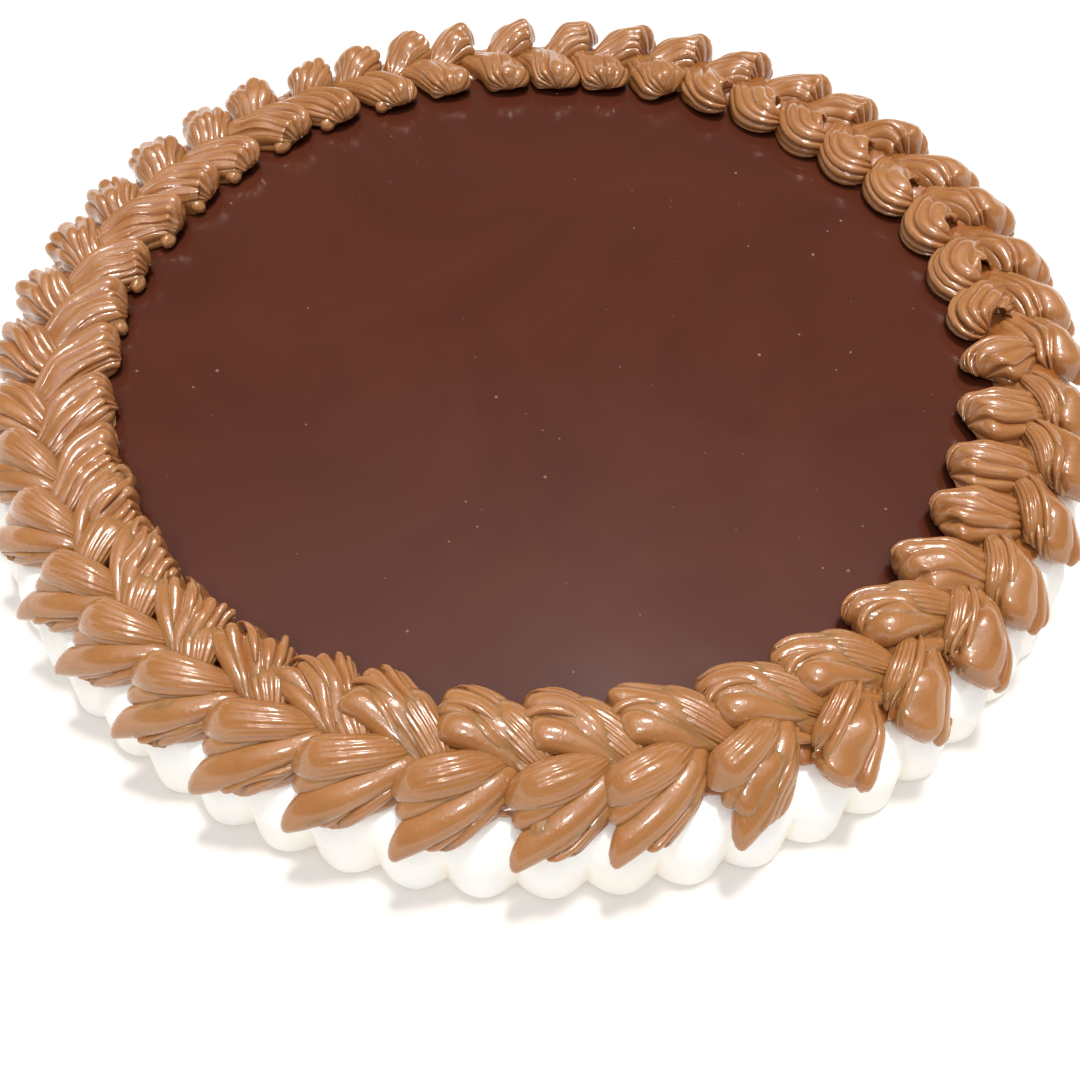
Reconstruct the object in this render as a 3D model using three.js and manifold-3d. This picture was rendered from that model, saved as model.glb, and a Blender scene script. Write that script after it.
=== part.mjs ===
// A round cake: a pale fluted case with sloping sides, a disc of chocolate glaze on top, and a
// thick braid of piped caramel round the edge, in two rows of shells whose tails meet in the middle.
import * as THREE from "three";
import { mergeVertices } from "three/addons/utils/BufferGeometryUtils.js";
import Module from "manifold-3d";

// Driving dimensions, in millimetres and degrees
const CASE_RADIUS = 140; // over the flutes, at the bottom
const CASE_HEIGHT = 21;
const TOP_RADIUS = 123; // flat top of the case, under the braid
const FLUTES = 62;
const FLUTE_DEPTH = 3.6;
const FLUTE_FACETS = 5;
const FLUTE_START = -88.84; // angle of one crest
const GLAZE_RADIUS = 117;
const GLAZE_THICKNESS = 2.4;
const GLAZE_SIDES = 72;
const GAP = 0.3; // clearance between touching pieces
const BRAID_RADIUS = 121.5; // circle on which the tails of both rows end
const SHELL_LENGTH = 9.5; // degrees round the cake, from head to tail
const SHELL_WIDTH = 17.5;
const SHELL_HEIGHT = 10;
const STATIONS = [0, 0.22, 0.6]; // sections of a shell, as shares of its length from the head
const WIDEST = 0.3; // where a round shell is widest and highest, as a share of its length
const TAIL_SIZE = 0.5; // of a round shell's width and height
const TAIL_END = 2; // height of the tail's end
const KEEL = 2; // how far a shell reaches into what it lies on
const RIDGES = 4; // along each shell, from the teeth of the nozzle
const RIDGE_DEPTH = 0.22; // of the shell's radius
const FINGER = 2; // how far the ridges of a fan run out beyond its grooves
const OVERHANG_DROP = 3; // how far an outer head sinks over the shoulder of the case
const CORE = { inner: 115, outer: 127, top: 5.5 }; // packed caramel under the shells
const UNEVEN = { angle: 0.8, reach: 0.7, size: 0.06 }; // how much the shells differ

// The two rows. Between the angles of fan the shells spread flat, and elsewhere they are round.
// The reach is that of a head from the middle of the braid, and the slant how much it is cut askew:
// that of a round shell, what a fan adds, and what a shell at the front adds.
const INNER_ROW = {
  side: -1,
  shells: 41,
  start: -87.2,
  fan: { from: 115, full: 150, fading: 238, to: 262 },
  reach: { round: 11.5, fan: 2.8, front: 0.8 },
  slant: { round: 0.2, fan: 0.5, front: 0 },
};
const OUTER_ROW = {
  side: 1,
  shells: 43,
  start: -90,
  fan: { from: 115, full: 150, fading: 305, to: 335 },
  reach: { round: 7.5, fan: 0, front: 5 },
  slant: { round: 0.2, fan: 0, front: 0.3 },
};

const rad = THREE.MathUtils.degToRad;
const { lerp, smoothstep } = THREE.MathUtils;

// A repeatable draw between -1 and 1 for one shell and one purpose.
function draw(shell, side, purpose) {
  const s = Math.sin(shell * 12.9898 + side * 37.719 + purpose * 78.233) * 43758.5453;
  return 2 * (s - Math.floor(s)) - 1;
}

const wasm = await Module();
wasm.setup();

// The closed solid of a geometry, with its shared vertices merged.
function solidOf(geometry) {
  const bare = geometry.clone();
  bare.deleteAttribute("normal");
  bare.deleteAttribute("uv");
  const merged = mergeVertices(bare, 1e-4);
  return new wasm.Manifold(
    new wasm.Mesh({
      numProp: 3,
      vertProperties: merged.attributes.position.array,
      triVerts: new Uint32Array(merged.index.array),
    }),
  );
}

function geometryOf(body) {
  const mesh = body.getMesh();
  const geometry = new THREE.BufferGeometry();
  geometry.setAttribute("position", new THREE.BufferAttribute(mesh.vertProperties, 3));
  geometry.setIndex(new THREE.BufferAttribute(mesh.triVerts, 1));
  return geometry;
}

// A solid of revolution round Z, from a profile of [radius, height] pairs.
function turned(profile, sides) {
  const points = profile.map(([radius, height]) => new THREE.Vector2(radius, height));
  return new THREE.LatheGeometry(points, sides).rotateX(Math.PI / 2);
}

// The side of the case from the bottom up, measured over the flutes, which fade out at the top.
const CASE_SIDE = [
  { radius: CASE_RADIUS, height: 0, flute: 1 },
  { radius: CASE_RADIUS - 1.6, height: 0.5 * CASE_HEIGHT, flute: 1 },
  { radius: CASE_RADIUS - 6.5, height: 0.84 * CASE_HEIGHT, flute: 0.7 },
  { radius: TOP_RADIUS, height: CASE_HEIGHT, flute: 0 },
];

// The case is a fluted drum with a shallow round recess for the glaze.
function makeCase() {
  const profile = CASE_SIDE.map((level) => [level.radius, level.height]);
  const drum = turned([[0, 0], ...profile, [0, CASE_HEIGHT]], FLUTES * FLUTE_FACETS);
  const position = drum.attributes.position;
  for (let i = 0; i < position.count; i++) {
    const level = CASE_SIDE[(i % (CASE_SIDE.length + 2)) - 1];
    if (!level) continue;
    const x = position.getX(i);
    const y = position.getY(i);
    const turn = Math.atan2(y, x) - rad(FLUTE_START);
    const groove = 1 - Math.abs(Math.cos((turn * FLUTES) / 2));
    const scale = 1 - (level.flute * FLUTE_DEPTH * groove) / level.radius;
    position.setXY(i, x * scale, y * scale);
  }
  const floor = CASE_HEIGHT - GLAZE_THICKNESS - GAP;
  const rim = GLAZE_RADIUS + GAP;
  const above = CASE_HEIGHT + 1;
  const recess = turned([[0, floor], [rim, floor], [rim, above], [0, above]], GLAZE_SIDES);
  return geometryOf(solidOf(drum).subtract(solidOf(recess)));
}

function makeGlaze() {
  const bottom = CASE_HEIGHT - GLAZE_THICKNESS;
  return turned(
    [[0, bottom], [GLAZE_RADIUS, bottom], [GLAZE_RADIUS, CASE_HEIGHT], [0, CASE_HEIGHT]],
    GLAZE_SIDES,
  );
}

// How much a shell of a row is spread into a fan, from 0 to 1, at an angle round the cake.
function spreadOf(row, angle) {
  const turn = ((angle % 360) + 360) % 360;
  const { from, full, fading, to } = row.fan;
  return smoothstep(turn, from, full) * (1 - smoothstep(turn, fading, to));
}

// The line that a shell is swept along, on the surface that it lies on, from head to tail.
function spineOf(row, angle, reach) {
  const at = (share, turn) => {
    const radius = BRAID_RADIUS + row.side * share * reach;
    const over = Math.max(0, (radius - TOP_RADIUS) / (CASE_RADIUS - TOP_RADIUS));
    const a = rad(angle + turn * SHELL_LENGTH);
    const z = CASE_HEIGHT - OVERHANG_DROP * over;
    return new THREE.Vector3(radius * Math.cos(a), radius * Math.sin(a), z);
  };
  return new THREE.CubicBezierCurve3(at(1, 0), at(0.62, 0.15), at(0.1, 0.5), at(-0.35, 1));
}

// Width and height of a shell as shares of its largest, at a share of the way from its head.
// A round one swells like an egg, and a fan is widest and lower at its head.
function swell(s, spread) {
  const blunt = 0.88; // of a full dome, so that the head ends in a small face
  const dome = Math.sqrt(1 - (blunt * (1 - Math.min(s / WIDEST, 1))) ** 2);
  const round = dome - (1 - TAIL_SIZE) * smoothstep(s, WIDEST, 1);
  const fanWidth = 1.06 - TAIL_SIZE * s;
  const fanHeight = 0.6 + 0.4 * smoothstep(s, 0, WIDEST) - 0.45 * smoothstep(s, 1.5 * WIDEST, 1);
  return { width: lerp(round, fanWidth, spread), height: lerp(round, fanHeight, spread) };
}

// One piped shell: a ridged body swept from its broad head to a tail that the next shell covers.
function makeShell(row, shell) {
  const angle = row.start + (shell * 360) / row.shells + UNEVEN.angle * draw(shell, row.side, 1);
  const spread = spreadOf(row, angle);
  const front = smoothstep(-Math.sin(rad(angle)), 0.6, 1);
  const varied = (amount) => amount.round + amount.fan * spread + amount.front * front;
  const reach = varied(row.reach) + UNEVEN.reach * draw(shell, row.side, 2);
  const slant = row.side * varied(row.slant);
  const size = 1 + UNEVEN.size * draw(shell, row.side, 3);
  const spine = spineOf(row, angle, reach);
  const across = new THREE.Vector3();
  const vertices = [];
  for (const s of STATIONS) {
    const centre = spine.getPointAt(s);
    const along = spine.getTangentAt(s);
    across.set(along.y, -along.x, 0).normalize();
    const share = swell(s, spread);
    for (let k = 0; k <= 2 * RIDGES; k++) {
      const turn = (k * Math.PI) / (2 * RIDGES);
      const crest = k % 2 === 1;
      const lobe = crest ? 1 : 1 - RIDGE_DEPTH;
      const finger = s === 0 && crest ? -FINGER * lerp(0.3, 1, spread) : 0;
      const point = centre.clone();
      const sideways = 0.5 * SHELL_WIDTH * size * share.width * lobe * Math.cos(turn);
      point.addScaledVector(across, sideways);
      point.addScaledVector(along, finger + (1 - s) * slant * sideways);
      point.z += SHELL_HEIGHT * size * share.height * lobe * Math.sin(turn);
      vertices.push(point);
    }
    vertices.push(centre.clone().setZ(centre.z - KEEL));
  }
  const head = spine.getPointAt(0);
  head.z += 0.35 * SHELL_HEIGHT * swell(0, spread).height;
  const tail = spine.getPointAt(1);
  tail.z += TAIL_END;
  vertices.push(head, tail);

  const faces = [];
  const around = 2 * RIDGES + 2;
  const headEnd = vertices.length - 2;
  const lastRing = (STATIONS.length - 1) * around;
  for (let k = 0; k < around; k++) {
    const next = (k + 1) % around;
    for (let ring = 0; ring < lastRing; ring += around) {
      const ahead = ring + around;
      faces.push(ring + k, ahead + k, ring + next, ring + next, ahead + k, ahead + next);
    }
    faces.push(headEnd, k, next, headEnd + 1, lastRing + next, lastRing + k);
  }
  const geometry = new THREE.BufferGeometry().setFromPoints(vertices);
  geometry.setIndex(faces);
  return geometry;
}

// The low round ridge of caramel that the shells are packed on.
function makeCore() {
  const { inner, outer, top } = CORE;
  const base = CASE_HEIGHT - 1;
  const shoulder = base + 0.75 * top;
  const slope = 0.25 * (outer - inner);
  const profile = [
    [inner, base],
    [outer, base],
    [outer - slope, shoulder],
    [(inner + outer) / 2, base + top],
    [inner + slope, shoulder],
    [inner, base],
  ];
  return turned(profile, INNER_ROW.shells);
}

// The shells run into each other over the core, and the whole braid is bedded on the cake.
function makeBraid() {
  let braid = solidOf(makeCore());
  for (const row of [OUTER_ROW, INNER_ROW]) {
    for (let shell = 0; shell < row.shells; shell++) {
      braid = braid.add(solidOf(makeShell(row, shell)));
    }
  }
  const side = CASE_SIDE.slice(1).map((level) => [level.radius + GAP, level.height + GAP]);
  const under = -5;
  const wide = CASE_RADIUS + 10;
  const bed = turned(
    [[0, under], [wide, under], [wide, side[0][1]], ...side, [0, CASE_HEIGHT + GAP]],
    2 * OUTER_ROW.shells,
  );
  return geometryOf(braid.subtract(solidOf(bed)));
}

function piece(name, geometry, color, roughness) {
  const material = new THREE.MeshStandardMaterial({ color, roughness, metalness: 0, flatShading: true });
  const mesh = new THREE.Mesh(geometry, material);
  mesh.name = name;
  return mesh;
}

const cake = new THREE.Group();
cake.add(
  piece("fluted_case", makeCase(), 0xf4e8d2, 0.85),
  piece("chocolate_glaze", makeGlaze(), 0x683e2c, 0.25),
  piece("caramel_braid", makeBraid(), 0xbc875a, 0.35),
);

export default cake;
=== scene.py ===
import math

import bpy
import numpy as np
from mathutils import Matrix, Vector


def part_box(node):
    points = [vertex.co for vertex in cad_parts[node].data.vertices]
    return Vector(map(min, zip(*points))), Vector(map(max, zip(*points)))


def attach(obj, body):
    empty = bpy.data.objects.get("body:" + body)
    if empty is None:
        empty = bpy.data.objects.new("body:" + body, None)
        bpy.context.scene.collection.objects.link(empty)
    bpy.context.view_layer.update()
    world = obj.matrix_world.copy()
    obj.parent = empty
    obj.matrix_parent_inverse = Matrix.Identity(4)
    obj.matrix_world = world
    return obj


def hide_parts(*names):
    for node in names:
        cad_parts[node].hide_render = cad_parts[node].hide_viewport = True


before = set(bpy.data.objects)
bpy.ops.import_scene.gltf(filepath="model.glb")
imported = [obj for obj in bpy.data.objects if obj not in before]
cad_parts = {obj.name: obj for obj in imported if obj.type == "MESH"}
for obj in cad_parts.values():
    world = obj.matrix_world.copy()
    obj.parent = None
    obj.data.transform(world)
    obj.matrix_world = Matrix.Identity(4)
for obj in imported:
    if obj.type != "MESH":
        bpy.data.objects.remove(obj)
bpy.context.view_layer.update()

# The camera looks down on the front of the cake from close by, as a hand-held camera does.
# Its lens, place and tilt were fitted to the round rim of the glaze and to the foot of the case.
MM = 0.001
_, case_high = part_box("fluted_case")
TOP = case_high.z / MM
CAMERA_ASIDE = 0.5
CAMERA_BACK = 199.5
CAMERA_ABOVE_TOP = 188.5
CAMERA_DOWN = 54.94
camera = bpy.data.cameras.new("camera")
camera.sensor_width = 36.0
camera.lens = 35.0
camera.clip_start = 0.01
viewer = bpy.data.objects.new("camera", camera)
viewer.location = (CAMERA_ASIDE * MM, -CAMERA_BACK * MM, (TOP + CAMERA_ABOVE_TOP) * MM)
viewer.rotation_euler = (math.radians(90 - CAMERA_DOWN), 0.0, 0.0)
bpy.context.collection.objects.link(viewer)
bpy.context.scene.camera = viewer


# The fluted case: a low drum of pale, finely crumbed crust, baked in a fluted tin. Its 62 round flutes
# fade out over the shoulder, and a shallow round recess in its top takes the glaze.
CASE_RADIUS = case_high.x / MM
FLAT_RADIUS = 60
FOOT_HEIGHT = 1.2
SIDE_STEPS = 18
LEAN_LOW = 1.6
LEAN_HIGH = 4.9
LEAN_SHOULDER = 10.5
RECESS_RADIUS = 117.3
RECESS_DEPTH = 2.7
FLUTES = 62
FLUTE_DEPTH = 3.6
FLUTE_SET_IN = 0.25
FLUTE_START = math.radians(-88.84)
COLUMNS_A_FLUTE = 14


def colour(red, green, blue):
    """A colour as it looks on a screen, turned into light values."""
    shares = (red / 255, green / 255, blue / 255)
    return (*[((c + 0.055) / 1.055) ** 2.4 if c > 0.04 else c / 12.92 for c in shares], 1.0)


def ease(x, low, high):
    """From 0 at low to 1 at high, with a soft start and stop."""
    t = np.clip((np.asarray(x, float) - low) / (high - low), 0, 1)
    return t * t * (3 - 2 * t)


class Finish:
    """A material whose nodes are added one by one."""

    def __init__(self, name, base, roughness):
        self.material = bpy.data.materials.new(name)
        self.material.use_nodes = True
        self.tree = self.material.node_tree
        self.shader = self.tree.nodes["Principled BSDF"]
        self.set("Base Color", base)
        self.set("Roughness", roughness)

    def set(self, socket, value):
        """Set a socket of the shader to a value, or link a node's output to it."""
        if isinstance(value, bpy.types.NodeSocket):
            self.tree.links.new(value, self.shader.inputs[socket])
        else:
            self.shader.inputs[socket].default_value = value

    def node(self, kind, result=0, settings=(), **sockets):
        """Add a node and give back one of its outputs.

        Its sockets are filled by their names, or by their numbers after an underscore.
        """
        made = self.tree.nodes.new("ShaderNode" + kind)
        for name, value in dict(settings).items():
            setattr(made, name, value)
        for name, value in sockets.items():
            socket = made.inputs[int(name[1:]) if name[0] == "_" else name.replace("_", " ")]
            if isinstance(value, bpy.types.NodeSocket):
                self.tree.links.new(value, socket)
            else:
                socket.default_value = value
        return made.outputs[result]

    def noise(self, where, scale, detail=2.0, roughness=0.5, distortion=0.0):
        return self.node("TexNoise", Vector=where, Scale=scale, Detail=detail, Roughness=roughness,
                         Distortion=distortion)

    def spread(self, value, low, high, to_low=0.0, to_high=1.0):
        return self.node("MapRange", Value=value, From_Min=low, From_Max=high, To_Min=to_low,
                         To_Max=to_high)

    def blend(self, share, first, second):
        """A mix of two colours by a share."""
        return self.node("Mix", 2, {"data_type": "RGBA"}, _0=share, _6=first, _7=second)

    def bump(self, height, distance, strength=1.0, under=None):
        sockets = {"Height": height, "Distance": distance, "Strength": strength}
        if under is not None:
            sockets["Normal"] = under
        return self.node("Bump", **sockets)

    def place(self):
        """Where a point lies on the cake, in metres."""
        return self.node("TexCoord", "Object")

    def mark(self, name, result):
        """A value that the mesh holds at each of its points."""
        return self.node("Attribute", result, {"attribute_name": name})


def grid_faces(rows, columns, first=0):
    """Four-sided faces of rings of points, each of which closes on itself."""
    row = np.arange(rows - 1)[:, None] * columns + first
    column = np.arange(columns)[None, :]
    ahead = (column + 1) % columns
    corners = (row + column, row + ahead, row + columns + ahead, row + columns + column)
    return np.stack(corners, -1).reshape(-1, 4).tolist()


def make_piece(name, points, faces, material, marks=()):
    """A smooth mesh from points in millimetres, with values marked on its points."""
    mesh = bpy.data.meshes.new(name)
    mesh.from_pydata((np.asarray(points) * MM).tolist(), [], faces)
    mesh.shade_smooth()
    for mark, values in dict(marks).items():
        values = np.asarray(values, np.float32)
        kind, field = ("FLOAT_VECTOR", "vector") if values.ndim == 2 else ("FLOAT", "value")
        mesh.attributes.new(mark, kind, "POINT").data.foreach_set(field, values.ravel())
    mesh.materials.append(material)
    piece = bpy.data.objects.new(name, mesh)
    bpy.context.collection.objects.link(piece)
    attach(piece, "root")
    return piece


def case_profile():
    """Radius, height and share of flute from the middle of the bottom to the middle of the recess."""
    foot, rim, recess = CASE_RADIUS, RECESS_RADIUS, TOP - RECESS_DEPTH
    rows = [(0, 0, 0), (FLAT_RADIUS, 0, 0), (foot - 8, 0, 0), (foot - 1.6, 0, 1), (foot - 0.4, 0.35, 1)]
    # The side leans in a little, then more, and rounds over to the top
    for step in np.linspace(0, 1, SIDE_STEPS):
        height = FOOT_HEIGHT + (TOP - FOOT_HEIGHT) * math.sin(step * math.pi / 2) ** 0.82
        share = height / TOP
        slope = LEAN_LOW * min(share / 0.5, 1) + LEAN_HIGH * ease(share, 0.42, 0.93)
        shoulder = LEAN_SHOULDER * max(0, (share - 0.8) / 0.2) ** 2.2
        flute = (1 - 0.45 * share) * (1 - float(ease(share, 0.3, 0.92)))
        rows.append((foot - (slope + shoulder), height, flute))
    rows += [(rim + 2, TOP, 0), (rim + 0.4, TOP, 0), (rim, TOP - 0.4, 0), (rim, recess, 0)]
    return rows + [(FLAT_RADIUS, recess, 0), (0, recess, 0)]


def make_case(material):
    """The case from its profile, a little uneven round its foot as a crust is."""
    columns = FLUTES * COLUMNS_A_FLUTE
    turn = np.arange(columns) * 2 * math.pi / columns
    groove = 1 - np.abs(np.cos((turn - FLUTE_START) * FLUTES / 2)) ** 0.85
    wander = 0.25 * np.sin(3 * turn + 1) + 0.2 * np.sin(7 * turn) + 0.15 * np.sin(17 * turn + 2)
    points, painted_shade = [], []
    for radius, height, flute in case_profile():
        ring = radius - flute * (FLUTE_DEPTH * groove + FLUTE_SET_IN + wander)
        points.append(np.stack([ring * np.cos(turn), ring * np.sin(turn), np.full_like(turn, height)], -1))
        # The deeper in a flute groove, the more painted shade a point is marked for
        painted_shade.append(flute * groove)
    faces = grid_faces(len(points), columns)
    marks = {"painted_shade": np.concatenate(painted_shade)}
    return make_piece("case", np.concatenate(points), faces, material, marks)


crust = Finish("pale crust", colour(255, 251, 243), 0.7)
spot = crust.place()
patches = crust.noise(spot, 55.0, 3.0)
crumb = crust.noise(spot, 1400.0, 4.0, 0.65)
shade_mark = crust.mark("painted_shade", "Fac")
lit = crust.blend(crust.spread(patches, 0.35, 0.7), colour(255, 255, 252), colour(255, 253, 245))
# The flute grooves are painted a warmer, darker cream: painted shade in the grooves
groove_shaded = crust.blend(crust.spread(shade_mark, 0.4, 1.0, 0.0, 0.7), lit, colour(252, 240, 218))
crust.set("Base Color", groove_shaded)
crust.set("Normal", crust.bump(crumb, 0.00025, 0.5, crust.bump(patches, 0.0012, 0.35)))
case = make_case(crust.material)
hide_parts("fluted_case")


# The chocolate glaze: a thin disc of dark ganache, poured warm into the recess, where it set flat and
# glossy. It keeps faint marks of how it flowed.
ganache = Finish("ganache", colour(84, 40, 26), 0.16)
spot = ganache.place()
flow = ganache.noise(spot, 14.0, 3.0, 0.55, 1.6)
cloud = ganache.noise(spot, 38.0, 2.0)
skin = ganache.noise(spot, 900.0, 2.0)
brown = ganache.blend(ganache.spread(flow, 0.3, 0.72), colour(74, 35, 23), colour(83, 41, 27))
ganache.set("Base Color", brown)
ganache.set("Roughness", ganache.spread(cloud, 0.3, 0.7, 0.13, 0.2))
ganache.set("Normal", ganache.bump(skin, 0.00002, 0.25, ganache.bump(flow, 0.0015, 0.06)))
ganache.set("Specular IOR Level", 0.35)
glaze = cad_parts["chocolate_glaze"]
glaze.data.materials.clear()
glaze.data.materials.append(ganache.material)


# The bubbles: small bubbles of air that rose through the ganache and stayed in its skin as it set.
# Each is a low dome on the glaze, painted a little paler than it as a painted highlight for the glints on
# bubbles, and a seeded draw spreads them.
BUBBLES = 70
BUBBLE_REACH = 104
BUBBLE_SIZE = 0.16
BUBBLE_GROWTH = 0.36
BUBBLE_SIDES = 10
BUBBLE_RINGS = ((1.0, -0.05), (0.85, 0.3), (0.45, 0.55))
BUBBLE_TIP = 0.62
BUBBLE_SEED = 28


def make_bubbles(material):
    random = np.random.default_rng(BUBBLE_SEED)
    points, faces = [], []
    around = np.arange(BUBBLE_SIDES) * 2 * math.pi / BUBBLE_SIDES
    for _ in range(BUBBLES):
        radius = BUBBLE_REACH * math.sqrt(random.random())
        turn = 2 * math.pi * random.random()
        size = BUBBLE_SIZE + BUBBLE_GROWTH * random.random() ** 4
        centre = np.array([radius * math.cos(turn), radius * math.sin(turn), TOP])
        first = len(points)
        for share, height in BUBBLE_RINGS:
            for a in around:
                offset = [size * share * math.cos(a), size * share * math.sin(a), size * height]
                points.append(centre + offset)
        tip = len(points)
        points.append(centre + [0, 0, BUBBLE_TIP * size])
        last = tip - BUBBLE_SIDES
        faces += grid_faces(len(BUBBLE_RINGS), BUBBLE_SIDES, first)
        faces += [(last + k, last + (k + 1) % BUBBLE_SIDES, tip) for k in range(BUBBLE_SIDES)]
    return make_piece("glaze_bubbles", points, faces, material)


bubble_glint = Finish("bubble painted glint", colour(126, 80, 66), 0.3)
speckle = bubble_glint.noise(bubble_glint.place(), 260.0, 2.0)
# The paler colour of the bubbles is a painted highlight, with a little random tone in it
bubble_glint.set("Base Color", bubble_glint.blend(speckle, colour(96, 54, 42), colour(160, 112, 98)))
bubbles = make_bubbles(bubble_glint.material)


# The bed: a low uneven ring of thick milk caramel, wet and glossy, on the joint of glaze and case. The
# shells are packed on it, so it shows only between them. It stands higher at the back right, where more
# caramel was pressed in.
MIDDLE = 121.5
BED_HALF_WIDTH = 8.3
BED_HEIGHT = 1.9
BED_SUNK = 0.4
BED_ROWS = 17
BED_SWIRLS = 43
BED_LUMPS = 97
BED_COLUMNS = 30 * BED_SWIRLS
BED_SHADE = 0.75
EXTRA_HEIGHT = 3.2
EXTRA_AT = math.radians(28)


def make_bed(material):
    turn = np.linspace(0, 2 * math.pi, BED_COLUMNS, endpoint=False)
    extra = EXTRA_HEIGHT * ease(np.cos(turn - EXTRA_AT), 0.6, 0.85)
    points, grain = [], []
    for tilt in np.linspace(0, math.pi, BED_ROWS):
        swirl = np.sin(BED_SWIRLS * turn + 2.5 * tilt) + 0.5 * np.sin(BED_LUMPS * turn + 1)
        strand = np.abs(np.sin(2.5 * BED_SWIRLS * turn + 6 * tilt)) - 0.6
        radius = MIDDLE + (BED_HALF_WIDTH + 0.4 * swirl + 0.5 * strand) * math.cos(tilt)
        swell = BED_HEIGHT + extra + 0.25 * swirl + 0.8 * strand
        height = TOP - BED_SUNK + swell * math.sin(tilt)
        points.append(np.stack([radius * np.cos(turn), radius * np.sin(turn), height], -1))
        grain.append(np.stack([MIDDLE * turn, np.full_like(turn, 8 * tilt), swirl], -1))
    faces = grid_faces(BED_ROWS, BED_COLUMNS)
    first = (BED_ROWS - 1) * BED_COLUMNS
    for k in range(BED_COLUMNS):
        ahead = (k + 1) % BED_COLUMNS
        faces.append([first + k, first + ahead, ahead, k])
    # The whole bed is marked for painted shade, for lying deep between the shells
    marks = {"grain": np.concatenate(grain), "painted_shade": np.full(BED_ROWS * BED_COLUMNS, BED_SHADE)}
    return make_piece("caramel_bed", np.concatenate(points), faces, material, marks)


caramel = Finish("milk caramel", colour(180, 124, 78), 0.3)
spot = caramel.place()
grain = caramel.mark("grain", "Vector")
stretched = caramel.node("VectorMath", 0, {"operation": "MULTIPLY"}, _0=grain, _1=(1.5, 0.1, 1.0))
streaks = caramel.noise(stretched, 1.0, 3.0, 0.6)
patches = caramel.noise(spot, 90.0, 3.0)
shade_mark = caramel.mark("painted_shade", "Fac")
tone = caramel.blend(caramel.spread(patches, 0.3, 0.7), colour(170, 117, 69), colour(158, 104, 54))
# Grooves, undersides, keels and the bed are painted a darker orange brown by the shade mark: painted shade
tone = caramel.blend(caramel.spread(shade_mark, 0.2, 0.9, 0.0, 0.8), tone, colour(144, 78, 28))
caramel.set("Base Color", tone)
caramel.set("Roughness", caramel.spread(streaks, 0.3, 0.7, 0.25, 0.31))
wrinkles = caramel.noise(grain, 0.8, 2.0, 0.6)
caramel.set("Normal", caramel.bump(streaks, 0.00012, 0.14, caramel.bump(wrinkles, 0.0003, 0.5)))
caramel.set("Coat Weight", 0.85)
caramel.set("Coat Roughness", 0.06)
caramel.set("Subsurface Weight", 0.35)
caramel.set("Subsurface Radius", (1.0, 0.45, 0.2))
caramel.set("Subsurface Scale", 0.0025)
bed = make_bed(caramel.material)
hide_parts("caramel_braid")


# The shells: an outer and an inner row of the same caramel, piped through a large open star nozzle. Each
# is pressed out at its head and drawn away to a tail, which the next one covers, so that the two rows
# make a braid. The teeth of the nozzle leave the strands, and the softer ones sag and run together.
INSIDE = -1
OUTSIDE = 1
STRANDS = 8
GROOVES = STRANDS - 1
EVEN = [0] * STRANDS
COLUMNS_A_STRAND = 7
LINE_POINTS = 81
HEAD_STATIONS = 10
BODY_STATIONS = 14
TAIL_STATIONS = 5
HEAD_SHARE = 0.3
TAIL_SHARE = 0.12
TURN_SPREAD = 0.8
SIZE_SPREAD = 0.06
HEAD_SPREAD = 0.6
TUCK = math.radians(113)
SHOULDER = 123.0
OVERHANG = 17.0
SHOULDER_DROP = 3.0
EDGE_DROP = 3.5
HEAD_BELLY = 2.9
TAIL_BELLY = 1.4
CURLED = 0.5
FULL_SHADE = 1.2
# What each repeatable draw is for, and its number
DRAWS = {"turn": 1, "head": 2, "size": 3, "wave": 5, "wave_start": 6, "lumps": 7, "cross_lumps": 8,
         "swell": 9, "folds": 10, "nub": 11, "strands": 20, "grooves": 40, "phases": 60}


def key(at, line, half, tops, dome, widths, grooves, **rest):
    """What a shell is like near one angle of the ring: the shells between two keys blend them.

    The line runs from head to tail through four points: radius, and mm on along the ring. Half is half
    the width of the head and of the tail, and tops are the heights of head, middle and tail. Dome goes
    from 0, a flat drawn shell, to 1, a tall curled one, and a blunt dome ends in a full round.

    Twist turns the ridges over the head, slant shifts the leading side on along the line, and hook bends
    the head over to that side. The lists run from the trailing to the leading side. For each strand they
    give its share of the width at the head (widths) and at the tail (tails), and how many mm its end juts
    out (reach) and its back stands up (raised). For each groove between two strands they give its depth
    in mm (grooves), the share of it left at the tail (late), and how far the strand leans over it (over).
    """
    made = {"reach": EVEN, "raised": EVEN, "tails": [1] * STRANDS, "late": [0.45] * GROOVES,
            "over": [0] * GROOVES, "twist": 0, "slant": 0, "hook": 0, "blunt": 0}
    made.update(at=at, line=line, half=half, tops=tops, dome=dome, widths=widths, grooves=grooves, **rest)
    return {name: np.asarray(value, float) for name, value in made.items()}


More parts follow.
